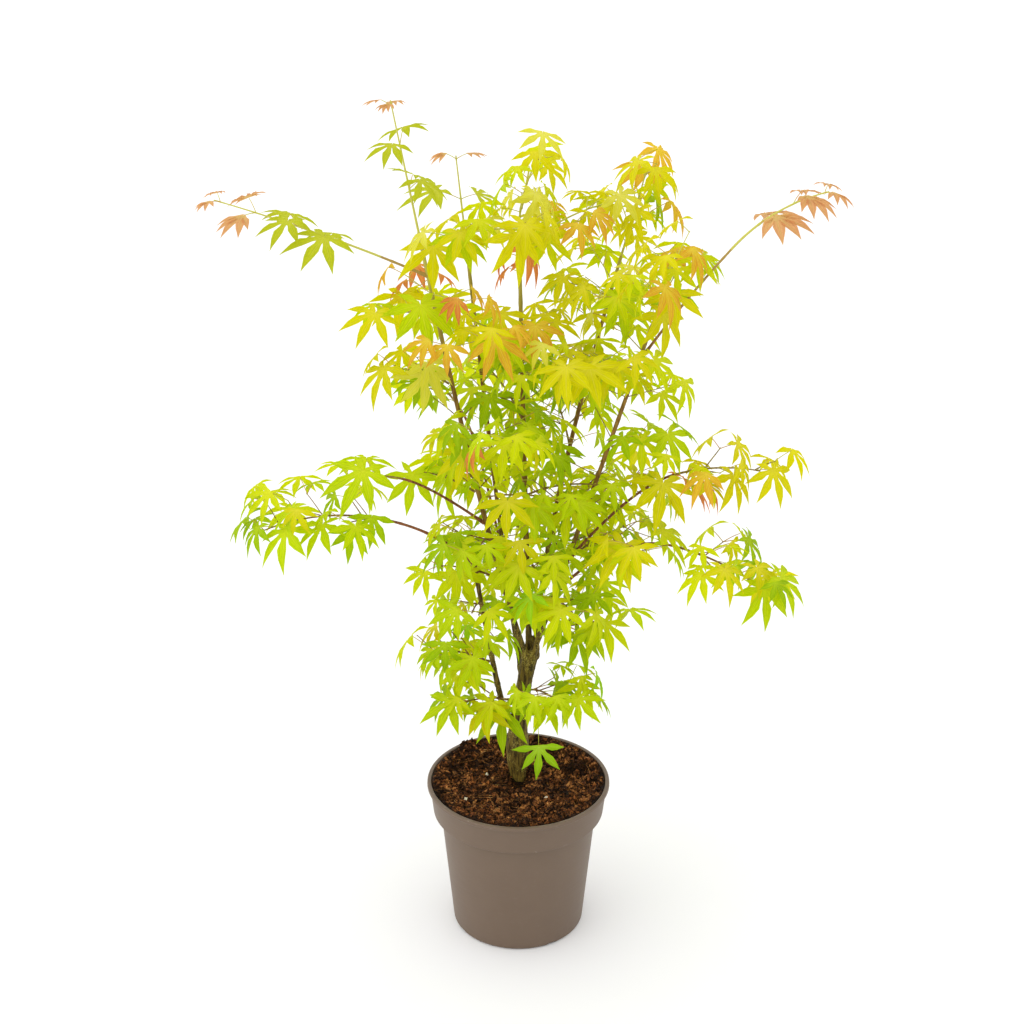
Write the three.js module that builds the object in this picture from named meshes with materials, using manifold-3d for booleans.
// A young Japanese maple in a round plastic nursery pot, about 0.9 m tall.
//
// A short trunk stands in the potting soil and divides into six thin upright stems. Bare arms reach out
// from the stems, and the stems, arms and trunk carry sprays: a thin twig with pairs of long-stalked lobed
// leaves. Each limb and each spray is a solid of its own, 0.3 mm clear of what carries it.
//
// Millimetres, +Z up. The origin is the middle of the pot's flat underside, and -Y is the front.
import * as THREE from 'three';
import { mergeVertices } from 'three/addons/utils/BufferGeometryUtils.js';
import Module from 'manifold-3d';

const wasm = await Module();
wasm.setup();

// ---------------------------------------------------------------- driving sizes

const GAP = 0.3; // between a piece and what carries it
const DEGREE = Math.PI / 180;

const POT = {
  height: 166,
  lipRadius: 95,
  lipHeight: 4.5,
  collarTopRadius: 92,
  collarRadius: 88.5,
  collarHeight: 35,
  bodyTopRadius: 81,
  bodyRadius: 68.5,
  cornerRadius: 3,
  wall: 1.8,
  floor: 2.5,
  segments: 32,
};
const DRAIN = { notches: 4, firstAngle: 211, width: 9, height: 3, depth: 9 };

const SOIL = { level: 156.5, edgeRise: 6, bump: 1.8, rings: 4, padRadius: 14, padDepth: 6, seed: 11 };

const TRUNK = {
  foot: [0, 25, SOIL.level + GAP],
  bend: [-3, 25, 225],
  top: [12, 25, 300],
  sides: 12,
  steps: 10,
  ridge: 0.05,
};
// How thick the trunk is along its length: narrow at the soil, widest where it first forks, then a taper.
const TRUNK_RADII = [[0, 8], [0.06, 9.4], [0.13, 11], [0.27, 12.2], [0.42, 8.8], [0.8, 7.9], [1, 9]];

// The stems. Each is one arc from its foot through its bend to its tip, with its thickness at both ends.
// side is how far up the trunk a stem leaves it, for those that don't stand on its top.
const STEMS = {
  stem_left_tall: {
    foot: [6.5, 21, 302], bend: [-36, 10, 445], tip: [-92, -8, 752], radii: [2.9, 1.6],
  },
  stem_centre: {
    foot: [11, 30.5, 302], bend: [6, 33, 480], tip: [0, 28, 740], radii: [3, 1.7],
  },
  stem_right_back: {
    foot: [17.5, 29, 302], bend: [24, 60, 430], tip: [100, 96, 700], radii: [2.9, 1.6],
  },
  stem_right_front: {
    foot: [14.5, 20.5, 302], bend: [44, 2, 400], tip: [122, -34, 672], radii: [2.9, 1.6],
  },
  stem_left_low: {
    side: 0.3, bend: [-20, 16, 250], tip: [-44, 0, 412], radii: [3.2, 2],
  },
  stem_back_left: {
    side: 0.78, bend: [-10, 66, 330], tip: [-52, 122, 706], radii: [2.8, 1.6],
  },
};

// The bare arms. on and at say which limb an arm leaves and how far along it.
const ARMS = {
  arm_left_low: {
    on: 'stem_left_low', at: 1, bend: [-80, -6, 452], tip: [-128, -8, 464], radii: [1.8, 1.5],
  },
  arm_left_mid: {
    on: 'stem_left_tall', at: 0.42, bend: [-88, -14, 505], tip: [-112, -18, 512], radii: [1.6, 1.4],
  },
  arm_left_high: {
    on: 'stem_left_tall', at: 0.93, bend: [-110, -8, 722], tip: [-128, -10, 730], radii: [1.5, 1.3],
  },
  arm_right_high: {
    on: 'stem_right_front', at: 0.93, bend: [152, -36, 698], tip: [192, -34, 744], radii: [1.5, 1.3],
  },
  arm_right_mid: {
    on: 'stem_right_front', at: 0.42, bend: [112, -6, 500], tip: [150, -12, 514], radii: [1.7, 1.4],
  },
  arm_right_low: {
    on: 'stem_right_front', at: 0.3, bend: [96, -28, 462], tip: [152, -44, 452], radii: [1.7, 1.4],
  },
  arm_back_mid: {
    on: 'stem_back_left', at: 0.35, bend: [-40, 150, 490], tip: [-62, 190, 506], radii: [1.7, 1.4],
  },
};

const LIMB = { sides: 5, steps: 9, armSteps: 5 };

// A leaf blade: the angle of each point of its outline from the middle lobe, and its distance from the
// stalk's end as a share of the middle lobe. Lobe tips and the notches between them take turns.
const BLADE = [[0, 1], [20, 0.44], [40, 0.94], [61, 0.4], [85, 0.76]];
const BASE_NOTCH = 0.06;
const LEAF = {
  length: 47, // of the middle lobe
  bow: 0.16, // how far the tips hang below the middle, as a share of the length
  pleat: 0.035, // how far the notches stand above it
  hub: 0.8, // half the blade's thickness where its ribs meet
  stalk: 0.6, // the stalk's radius at the blade
  stalkRoot: 0.4, // and in the middle of its twig
  tries: 4, // how often it is turned afresh where it would touch something
};
const TWIG = {
  root: 1.9, // its radius at its foot
  tip: 1.5,
  clear: 3, // from a twig's middle to where a stalk must be clear of all else
  shortest: 52,
  longest: 112,
  rise: 32, // degrees above level at its foot
  trailRise: 2, // and at its tip
};
// How a twig bears its leaves: the way between its pairs, how much smaller the last ones are, and whether
// its first nodes bear side twigs. A leader is the long, sparse shoot that ends a limb at the crown's edge.
const BUSHY = { pairSpacing: 25, shrink: 0.25, sideTwigs: true };
const LEADER = { pairSpacing: 40, shrink: 0.5, sideTwigs: false };
const SPRAY_TURNS = [0, 15, -15, 30, -30, 45, -45];
const SPRAY_SEED = 7919;

// The sprays of each limb. ways are the compass directions, from +X towards +Y, of those on its side, which
// stand at even steps from one share of its length to another. tip is how far the one on its end reaches,
// trail the way that one bends, and tipLeaf the length of its leaves where they are not full grown. Its
// habit is bushy unless it says otherwise.
const SPRAYS = {
  stem_left_tall: {
    from: 0.26, to: 0.97, ways: [190, 262, 170, 300, 180, 205, 335], tip: 124, tipLeaf: 36, habit: LEADER,
  },
  stem_right_front: {
    from: 0.1, to: 0.9, ways: [345, 285, 30, 205, 345, 225], tip: 70,
  },
  stem_centre: {
    from: 0.26, to: 0.97, ways: [275, 325, 115, 250, 30], tip: 78, trail: [0.5, 0, 0.9],
  },
  stem_right_back: {
    from: 0.3, to: 0.92, ways: [55, 0, 100, 215, 262], tip: 85,
  },
  stem_back_left: {
    from: 0.3, to: 0.9, ways: [95, 165, 200], tip: 85, tipLeaf: 40, habit: LEADER,
  },
  stem_left_low: {
    from: 0.55, to: 0.85, ways: [190, 262],
  },
  trunk: {
    from: 0.6, to: 0.7, ways: [215, 295],
  },
  arm_left_low: {
    tip: 140, trail: [-1, 0, -0.5], tipLeaf: 45,
  },
  arm_left_mid: {
    tip: 54, trail: [-1, 0, -0.1],
  },
  arm_left_high: {
    tip: 158, trail: [-1, 0, 0.3], tipLeaf: 42, habit: LEADER,
  },
  arm_right_high: {
    tip: 104, trail: [1, 0, 0.25], tipLeaf: 42, habit: LEADER,
  },
  arm_right_mid: {
    from: 0.6, to: 0.6, ways: [320], tip: 85, trail: [1, 0, -0.2],
  },
  arm_right_low: {
    from: 0.55, to: 0.55, ways: [285], tip: 108, trail: [0.9, 0, -0.85],
  },
  arm_back_mid: {
    tip: 80, trail: [-0.3, 1, 0],
  },
};

// How far the sprays reach from the crown's own axis at each height.
const CROWN_AXIS = { low: [4, 25, 230], high: [34, 22, 760] };
const CROWN_REACH = [
  [240, 96],
  [300, 150],
  [430, 142],
  [500, 165],
  [550, 165],
  [610, 150],
  [680, 190],
  [800, 165],
];

const COLOURS = {
  pot: 0x78685a,
  soil: 0x3c2415,
  bark: 0x6b5a35,
  twigBark: 0x6e4a2c,
  leaf: 0xb9cf12,
};

// ---------------------------------------------------------------- helpers

const vector = (xyz) => new THREE.Vector3(...xyz);

// The same numbers in the same order for the same seed, from 0 to 1.
function randomFrom(seed) {
  let state = seed;
  return () => {
    state = (state * 16807) % 2147483647;
    return state / 2147483647;
  };
}

// The value at x on straight lines between the [x, value] pairs of a profile.
function along(profile, x) {
  const next = Math.max(1, profile.findIndex(([at]) => at >= x));
  const [[x0, y0], [x1, y1]] = x >= profile.at(-1)[0] ? profile.slice(-2) : profile.slice(next - 1, next + 1);
  const share = THREE.MathUtils.clamp((x - x0) / (x1 - x0), 0, 1);
  return y0 + (y1 - y0) * share;
}

function solidOf(geometry) {
  const plain = geometry.clone();
  plain.deleteAttribute('normal');
  plain.deleteAttribute('uv');
  const merged = mergeVertices(plain, 1e-4);
  return new wasm.Manifold(new wasm.Mesh({
    numProp: 3,
    vertProperties: merged.attributes.position.array,
    triVerts: new Uint32Array(merged.index.array),
  }));
}

function geometryOf(solid) {
  const mesh = solid.getMesh();
  const geometry = new THREE.BufferGeometry();
  geometry.setAttribute('position', new THREE.BufferAttribute(new Float32Array(mesh.vertProperties), 3));
  geometry.setIndex(new THREE.BufferAttribute(new Uint32Array(mesh.triVerts), 1));
  return geometry;
}

const model = new THREE.Group();
const grown = []; // every solid of the plant so far, with its bounding box

function addMesh(name, geometry, colour, roughness) {
  const material = new THREE.MeshStandardMaterial({ color: colour, roughness, flatShading: true });
  const mesh = new THREE.Mesh(geometry, material);
  mesh.name = name;
  model.add(mesh);
}

function remember(solid) {
  grown.push({ solid, box: solid.boundingBox() });
}

function boxesMeet(a, b) {
  return [0, 1, 2].every((k) => a.min[k] <= b.max[k] && b.min[k] <= a.max[k]);
}

function touchesPlant(solid, others = grown) {
  const box = solid.boundingBox();
  return others.some((other) => boxesMeet(box, other.box) && solid.intersect(other.solid).volume() > 0);
}

// ---------------------------------------------------------------- pot

// A thin-walled moulded pot: a tapering body, a wider collar with a rolled lip, and a flat foot.
function potProfile() {
  const { height, wall, cornerRadius, bodyRadius, floor } = POT;
  const collarFoot = height - POT.collarHeight;
  const bodyRadiusAt = (z) => bodyRadius + (POT.bodyTopRadius - bodyRadius) * (z / collarFoot);
  const points = [[0, 0]];
  for (const turn of [-90, -45, 0]) {
    points.push([
      bodyRadiusAt(cornerRadius) - cornerRadius + cornerRadius * Math.cos(turn * DEGREE),
      cornerRadius + cornerRadius * Math.sin(turn * DEGREE),
    ]);
  }
  points.push([POT.bodyTopRadius, collarFoot]);
  points.push([POT.collarRadius, collarFoot + 1.5]);
  points.push([POT.collarTopRadius, height - POT.lipHeight]);
  points.push([POT.lipRadius, height - POT.lipHeight + 0.8]);
  points.push([POT.lipRadius - 0.8, height]);
  points.push([POT.collarTopRadius - wall, height - 0.6]);
  points.push([POT.collarRadius - wall, collarFoot + wall + 1.5]);
  points.push([POT.bodyTopRadius - wall, collarFoot + wall]);
  points.push([bodyRadiusAt(cornerRadius) - wall, cornerRadius]);
  points.push([bodyRadiusAt(cornerRadius) - cornerRadius, floor]);
  points.push([0, floor]);
  return points.map(([r, z]) => new THREE.Vector2(r, z));
}

// A lathe turns about Y, so it is stood up with its axis on Z.
function turned(profile, segments) {
  return new THREE.LatheGeometry(profile, segments).rotateX(Math.PI / 2);
}

function makePot() {
  let solid = solidOf(turned(potProfile(), POT.segments));
  for (let i = 0; i < DRAIN.notches; i++) {
    const angle = (DRAIN.firstAngle + (i * 360) / DRAIN.notches) * DEGREE;
    const notch = new THREE.BoxGeometry(DRAIN.depth, DRAIN.width, DRAIN.height * 2)
      .translate(POT.bodyRadius - DRAIN.depth / 2 + 0.5, 0, 0)
      .rotateZ(angle);
    solid = solid.subtract(solidOf(notch));
  }
  addMesh('pot', geometryOf(solid), COLOURS.pot, 0.55);
  remember(solid);
}

// ---------------------------------------------------------------- soil

// Fills the pot to just under its lip, uneven on top, and level under the trunk.
function makeSoil() {
  const { height, wall, cornerRadius, floor } = POT;
  const collarFoot = height - POT.collarHeight;
  const inner = wall + GAP;
  const rimRadius = POT.collarRadius - inner + 2;
  const topProfile = [];
  for (let ring = 0; ring < SOIL.rings; ring++) {
    const share = 1 - ring / SOIL.rings;
    topProfile.push(new THREE.Vector2(rimRadius * share, SOIL.level + SOIL.edgeRise * share ** 4));
  }
  const geometry = turned([
    new THREE.Vector2(0, floor + GAP),
    new THREE.Vector2(POT.bodyRadius - cornerRadius - GAP, floor + GAP),
    new THREE.Vector2(POT.bodyRadius - inner, cornerRadius + GAP),
    new THREE.Vector2(POT.bodyTopRadius - inner, collarFoot + wall + GAP),
    new THREE.Vector2(POT.collarRadius - inner, collarFoot + wall + 1.8 + GAP),
    ...topProfile,
    new THREE.Vector2(0, SOIL.level),
  ], POT.segments);
  const merged = mergeVertices(stripped(geometry), 1e-3);
  const position = merged.attributes.position;
  const random = randomFrom(SOIL.seed);
  for (let i = 0; i < position.count; i++) {
    const lift = (random() * 2 - 1) * SOIL.bump;
    const inside = Math.hypot(position.getX(i), position.getY(i)) < rimRadius - 1;
    if (inside && position.getZ(i) > SOIL.level - 2) position.setZ(i, position.getZ(i) + lift);
  }
  const [footX, footY] = TRUNK.foot;
  const { padRadius, padDepth, level } = SOIL;
  const pad = (middle) => solidOf(new THREE.CylinderGeometry(padRadius, padRadius, padDepth, 16)
    .rotateX(Math.PI / 2)
    .translate(footX, footY, middle));
  const solid = solidOf(merged).add(pad(level - padDepth / 2)).subtract(pad(level + padDepth / 2));
  addMesh('soil', geometryOf(solid), COLOURS.soil, 1);
  remember(solid);
}

function stripped(geometry) {
  geometry.deleteAttribute('normal');
  geometry.deleteAttribute('uv');
  return geometry;
}

// ---------------------------------------------------------------- limbs

// One arc: a quadratic curve lies in a plane, so that plane's normal keeps its sections from twisting.
function arc(foot, bend, tip) {
  const curve = new THREE.QuadraticBezierCurve3(foot, bend, tip);
  const first = bend.clone().sub(foot);
  const last = tip.clone().sub(bend);
  curve.across = first.clone().cross(last);
  if (curve.across.length() < 1e-3 * first.length() * last.length()) {
    curve.across = first.clone().cross(new THREE.Vector3(0.3, 1, 0.2));
  }
  curve.across.normalize();
  return curve;
}

// A cylinder bent along an arc, with radiusAt(t, angle) from its foot at t = 0 to its tip at t = 1.
function limbGeometry(curve, radiusAt, sides, steps) {
  const geometry = stripped(new THREE.CylinderGeometry(1, 1, 1, sides, steps));
  const position = geometry.attributes.position;
  for (let i = 0; i < position.count; i++) {
    const t = position.getY(i) + 0.5;
    const tangent = curve.getTangent(t);
    const inward = tangent.clone().cross(curve.across).normalize();
    const x = position.getX(i);
    const z = position.getZ(i);
    const radius = Math.hypot(x, z) < 0.5 ? 0 : radiusAt(t, Math.atan2(z, x));
    const point = curve.getPoint(t)
      .addScaledVector(inward, x * radius)
      .addScaledVector(curve.across, z * radius);
    position.setXYZ(i, point.x, point.y, point.z);
  }
  return geometry;
}

const tapered = ([foot, tip]) => (t) => foot + (tip - foot) * t;

// Where a thinner limb that heads for aim starts, just outside the one that carries it.
function footOn(carrier, t, aim, radius) {
  const centre = carrier.curve.getPoint(t);
  const tangent = carrier.curve.getTangent(t);
  const heading = aim.clone().sub(centre).normalize();
  if (t === 1) return centre.addScaledVector(tangent, GAP + radius * heading.clone().cross(tangent).length());
  const cosine = Math.abs(heading.dot(tangent));
  const out = (carrier.radiusAt(t) + GAP + radius * cosine) / Math.sqrt(1 - cosine ** 2);
  return centre.addScaledVector(heading, out);
}

// Draws a limb's foot back along its heading until the gap to its carrier is GAP. grow makes the limb's
// solid from a foot.
function seat(carrier, foot, heading, grow) {
  const seated = foot.clone();
  for (let step = 0; step < 4; step++) {
    seated.addScaledVector(heading, GAP - grow(seated).minGap(carrier.solid, 12));
  }
  return seated;
}

const limbs = {};

function makeTrunk() {
  const curve = arc(vector(TRUNK.foot), vector(TRUNK.bend), vector(TRUNK.top));
  // The flat cut lies level on the soil, so the lowest ring is set to the foot's own height.
  const radiusAt = (t, angle) => along(TRUNK_RADII, t) * (1 + TRUNK.ridge * Math.sin(3 * angle + 4 * t));
  const geometry = limbGeometry(curve, radiusAt, TRUNK.sides, TRUNK.steps);
  const position = geometry.attributes.position;
  for (let i = 0; i < position.count; i++) {
    if (position.getZ(i) < TRUNK.foot[2] + 2) position.setZ(i, TRUNK.foot[2]);
  }
  const solid = solidOf(geometry);
  limbs.trunk = { solid, curve, radiusAt: (t) => along(TRUNK_RADII, t) };
  addMesh('trunk', geometryOf(solid), COLOURS.bark, 0.9);
  remember(solid);
}

function makeLimb(name, carrier, foot, { bend, tip, radii }, steps, colour) {
  const radiusAt = tapered(radii);
  const curveFrom = (start) => arc(start, vector(bend), vector(tip));
  const grow = (start) => solidOf(limbGeometry(curveFrom(start), radiusAt, LIMB.sides, steps));
  const heading = vector(bend).sub(foot).normalize();
  const start = seat(carrier, foot, heading, grow);
  const solid = grow(start);
  limbs[name] = { solid, curve: curveFrom(start), radiusAt };
  addMesh(name, geometryOf(solid), colour, 0.8);
  remember(solid);
}

function makeStemsAndArms() {
  for (const [name, stem] of Object.entries(STEMS)) {
    const foot = stem.foot
      ? vector(stem.foot)
      : footOn(limbs.trunk, stem.side, vector(stem.bend), stem.radii[0]);
    makeLimb(name, limbs.trunk, foot, stem, LIMB.steps, COLOURS.bark);
  }
  for (const [name, arm] of Object.entries(ARMS)) {
    const foot = footOn(limbs[arm.on], arm.at, vector(arm.bend), arm.radii[0]);
    makeLimb(name, limbs[arm.on], foot, arm, LIMB.armSteps, COLOURS.twigBark);
  }
}

// ---------------------------------------------------------------- leaves

// The blade's outline in its own plane, from the middle lobe round to the base and back.
function bladeOutline(length) {
  const half = BLADE.map(([angle, reach], i) => (
    { angle, reach, drop: i % 2 ? LEAF.pleat : -LEAF.bow * reach ** 2 }
  ));
  const mirrored = half.slice(1).reverse().map((point) => ({ ...point, angle: -point.angle }));
  const ring = [...half, { angle: 180, reach: BASE_NOTCH, drop: 0 }, ...mirrored];
  return ring.map(({ angle, reach, drop }) => ({
    forward: length * reach * Math.cos(angle * DEGREE),
    side: length * reach * Math.sin(angle * DEGREE),
    up: length * drop,
  }));
}

// One leaf with its stalk as a closed solid. The stalk runs from the twig to the hub where the ribs meet.
// The blade has one point over the hub, and below it opens straight into the three-sided stalk.
function leafSolid({ node, hub, forward, side, up, length }, swell = 1) {
  const stalk = hub.clone().sub(node).normalize();
  const across = side.clone().addScaledVector(stalk, -side.dot(stalk)).normalize().negate();
  const back = across.clone().cross(stalk); // from the stalk's middle towards the blade's base notch
  const place = (f, s, u) => hub.clone()
    .addScaledVector(forward, f)
    .addScaledVector(side, s)
    .addScaledVector(up, u);
  const loop = (centre, radius) => [0, 1, 2].map((corner) => centre.clone()
    .addScaledVector(back, swell * radius * Math.cos((corner * 2 * Math.PI) / 3))
    .addScaledVector(across, swell * radius * Math.sin((corner * 2 * Math.PI) / 3)));

  const ring = bladeOutline(length).map((p) => place(p.forward, p.side, p.up));
  const collar = loop(hub.clone().addScaledVector(stalk, -2 * LEAF.stalk * swell), LEAF.stalk);
  const root = loop(node, LEAF.stalkRoot);
  const points = [...ring, ...collar, ...root, place(0, 0, LEAF.hub * swell)];
  const count = ring.length;
  const middle = count / 2; // the base notch
  const top = points.length - 1;
  const sideOfCollar = (i) => (i < middle ? count + 2 : count + 1);
  const faces = [];
  for (let i = 0; i < count; i++) {
    const next = (i + 1) % count;
    faces.push([top, i, next]);
    faces.push([sideOfCollar(i), next, i]);
  }
  faces.push([count, middle, count + 2], [count, count + 1, middle], [0, count + 1, count + 2]);
  for (let corner = 0; corner < 3; corner++) {
    const a = count + corner;
    const b = count + ((corner + 1) % 3);
    faces.push([b, a, b + 3], [a, a + 3, b + 3]);
  }
  faces.push([count + 5, count + 4, count + 3]);

  const geometry = new THREE.BufferGeometry().setFromPoints(faces.flat().map((i) => points[i]));
  return solidOf(geometry);
}

// Where a leaf sits that grows from a node of a twig towards heading.
function placeLeaf(random, node, heading, size) {
  const turn = (random() * 2 - 1) * 30 * DEGREE;
  const rise = (5 + random() * 30) * DEGREE;
  const reach = size * (0.4 + random() * 0.32);
  const droop = (28 + random() * 38) * DEGREE;
  const roll = (random() * 2 - 1) * 24 * DEGREE;
  const length = size * (0.84 + random() * 0.32);
  const azimuth = Math.atan2(heading.y, heading.x) + turn;
  const level = new THREE.Vector3(Math.cos(azimuth), Math.sin(azimuth), 0);
  const upright = new THREE.Vector3(0, 0, 1);
  const stalk = level.clone().multiplyScalar(Math.cos(rise)).addScaledVector(upright, Math.sin(rise));
  const forward = level.clone().multiplyScalar(Math.cos(droop)).addScaledVector(upright, -Math.sin(droop));
  const up = level.clone().multiplyScalar(Math.sin(droop)).addScaledVector(upright, Math.cos(droop))
    .applyAxisAngle(forward, roll);
  const side = up.clone().cross(forward);
  const hub = node.clone().addScaledVector(stalk, reach);
  return { node, hub, forward, up, side, length };
}

// ---------------------------------------------------------------- sprays

// A twig along a curve with leaves in pairs at even steps, the smallest at its tip. It says whether it
// had room. The first pair of a long bushy twig's nodes bears side twigs instead of leaves.
function growShoot(spray, curve, radii, pairs, size, segments) {
  const twig = solidOf(limbGeometry(curve, tapered(radii), 3, segments));
  if (touchesPlant(twig)) return false;
  spray.pieces.push(twig);
  spray.kept.push({ solid: twig, box: twig.boundingBox() });
  for (let pair = 1; pair <= pairs; pair++) {
    const last = pair === pairs;
    const t = last ? 0.96 : pair / pairs;
    const node = onTwig(curve, t, segments);
    const ahead = curve.getTangent(t);
    const level = new THREE.Vector3(-ahead.y, ahead.x, 0).normalize();
    const leafSize = size * (1 - spray.habit.shrink * t ** 3);
    for (const hand of [1, -1]) {
      const heading = level.clone().multiplyScalar(hand).addScaledVector(ahead, 0.5);
      if (spray.habit.sideTwigs && pair === 1 && pairs > 2 && growSide(spray, node, heading, size)) continue;
      growLeaf(spray, node, heading, leafSize);
    }
    if (last) growLeaf(spray, node, ahead, leafSize);
  }
  return true;
}

// The middle of a twig at t, which runs straight from one section to the next.
function onTwig(curve, t, segments) {
  const section = Math.floor(t * segments);
  const from = curve.getPoint(section / segments);
  return from.lerp(curve.getPoint((section + 1) / segments), t * segments - section);
}

// A short side twig with one pair of leaves and another on its end.
function growSide(spray, node, heading, size) {
  const lead = heading.clone().setZ(heading.z + 0.25).normalize();
  const bend = node.clone().addScaledVector(lead, size * 0.4);
  const side = arc(node, bend, bend.clone().addScaledVector(lead, size * 0.4));
  return growShoot(spray, side, [TWIG.tip, TWIG.tip * 0.85], 1, size * 0.92, 1);
}

// Every leaf has a seed of its own, so that what one leaf has room for changes no other's.
function growLeaf(spray, node, heading, size) {
  spray.tried += 1;
  const random = randomFrom(spray.seed + 613 * spray.tried);
  for (let attempt = 0; attempt < LEAF.tries; attempt++) {
    const leaf = placeLeaf(random, node, heading, size);
    const stalk = leaf.hub.clone().sub(leaf.node).normalize();
    const guardNode = leaf.node.clone().addScaledVector(stalk, TWIG.clear);
    const guard = leafSolid({ ...leaf, node: guardNode, length: leaf.length * 1.03 }, 1.6);
    if (touchesPlant(guard) || touchesPlant(guard, spray.kept)) continue;
    const solid = leafSolid(leaf);
    spray.pieces.push(solid);
    spray.kept.push({ solid, box: solid.boundingBox() });
    return;
  }
}

// A whole spray. lead is the direction its stem leaves its carrier in, and it ends heading for trail.
function growSpray(name, carrier, at, lead, trail, reach, size, habit) {
  const seed = SPRAY_SEED * model.children.length;
  const spray = { seed, habit, pieces: [], kept: [], tried: 0 };
  const aim = carrier.curve.getPoint(at).addScaledVector(lead, 50);
  const radii = [TWIG.root, TWIG.tip];
  const curveFrom = (foot) => {
    const bend = foot.clone().addScaledVector(lead, reach / 2);
    return arc(foot, bend, bend.clone().addScaledVector(trail, reach / 2));
  };
  const grow = (foot) => solidOf(limbGeometry(curveFrom(foot), tapered(radii), 3, 2));
  const curve = curveFrom(seat(carrier, footOn(carrier, at, aim, TWIG.root), lead, grow));
  const pairs = Math.max(1, Math.round(reach / habit.pairSpacing));
  if (!growShoot(spray, curve, radii, pairs, size, 2)) return false;
  const solid = wasm.Manifold.union(spray.pieces).simplify(0.05);
  addMesh(name, geometryOf(solid), COLOURS.leaf, 0.6);
  remember(solid);
  return true;
}

function crownAxisAt(z) {
  const share = (z - CROWN_AXIS.low[2]) / (CROWN_AXIS.high[2] - CROWN_AXIS.low[2]);
  return vector(CROWN_AXIS.low).lerp(vector(CROWN_AXIS.high), share);
}

// How long a twig from a node may be, heading level in direction azimuth, for its leaves to reach the
// crown's wall and no further.
function reachToWall(node, azimuth) {
  const axis = crownAxisAt(node.z);
  const wall = along(CROWN_REACH, node.z + 20) - LEAF.length;
  const dx = node.x - axis.x;
  const dy = node.y - axis.y;
  const toward = dx * Math.cos(azimuth) + dy * Math.sin(azimuth);
  const inside = toward ** 2 - dx ** 2 - dy ** 2 + wall ** 2;
  return inside > 0 ? -toward + Math.sqrt(inside) : 0;
}

const heading = (azimuth, rise) => new THREE.Vector3(
  Math.cos(azimuth) * Math.cos(rise),
  Math.sin(azimuth) * Math.cos(rise),
  Math.sin(rise),
);

// Sprays up the side of a limb. Where one has no room it is turned a little, to one side or the other.
function growSideSprays(name, { from, to, ways }) {
  const carrier = limbs[name];
  ways.forEach((way, i) => {
    const at = from + ((to - from) * i) / Math.max(1, ways.length - 1);
    const node = carrier.curve.getPoint(at);
    SPRAY_TURNS.some((turn) => {
      const azimuth = (way + turn) * DEGREE;
      const reach = THREE.MathUtils.clamp(reachToWall(node, azimuth), TWIG.shortest, TWIG.longest);
      const lead = heading(azimuth, TWIG.rise * DEGREE);
      const trail = heading(azimuth, TWIG.trailRise * DEGREE);
      return growSpray(`${name}_spray_${i + 1}`, carrier, at, lead, trail, reach, LEAF.length, BUSHY);
    });
  });
}

// A spray on a limb's very tip carries its line on.
function growTipSpray(name, { tip, trail, tipLeaf = LEAF.length, habit = BUSHY }) {
  const carrier = limbs[name];
  const ahead = carrier.curve.getTangent(1);
  const end = trail ? vector(trail).normalize() : ahead;
  growSpray(`${name}_spray_tip`, carrier, 1, ahead, end, tip, tipLeaf, habit);
}

makePot();
makeSoil();
makeTrunk();
makeStemsAndArms();
for (const [name, spec] of Object.entries(SPRAYS)) {
  if (spec.tip) growTipSpray(name, spec);
}
for (const [name, spec] of Object.entries(SPRAYS)) {
  if (spec.ways) growSideSprays(name, spec);
}

export default model;
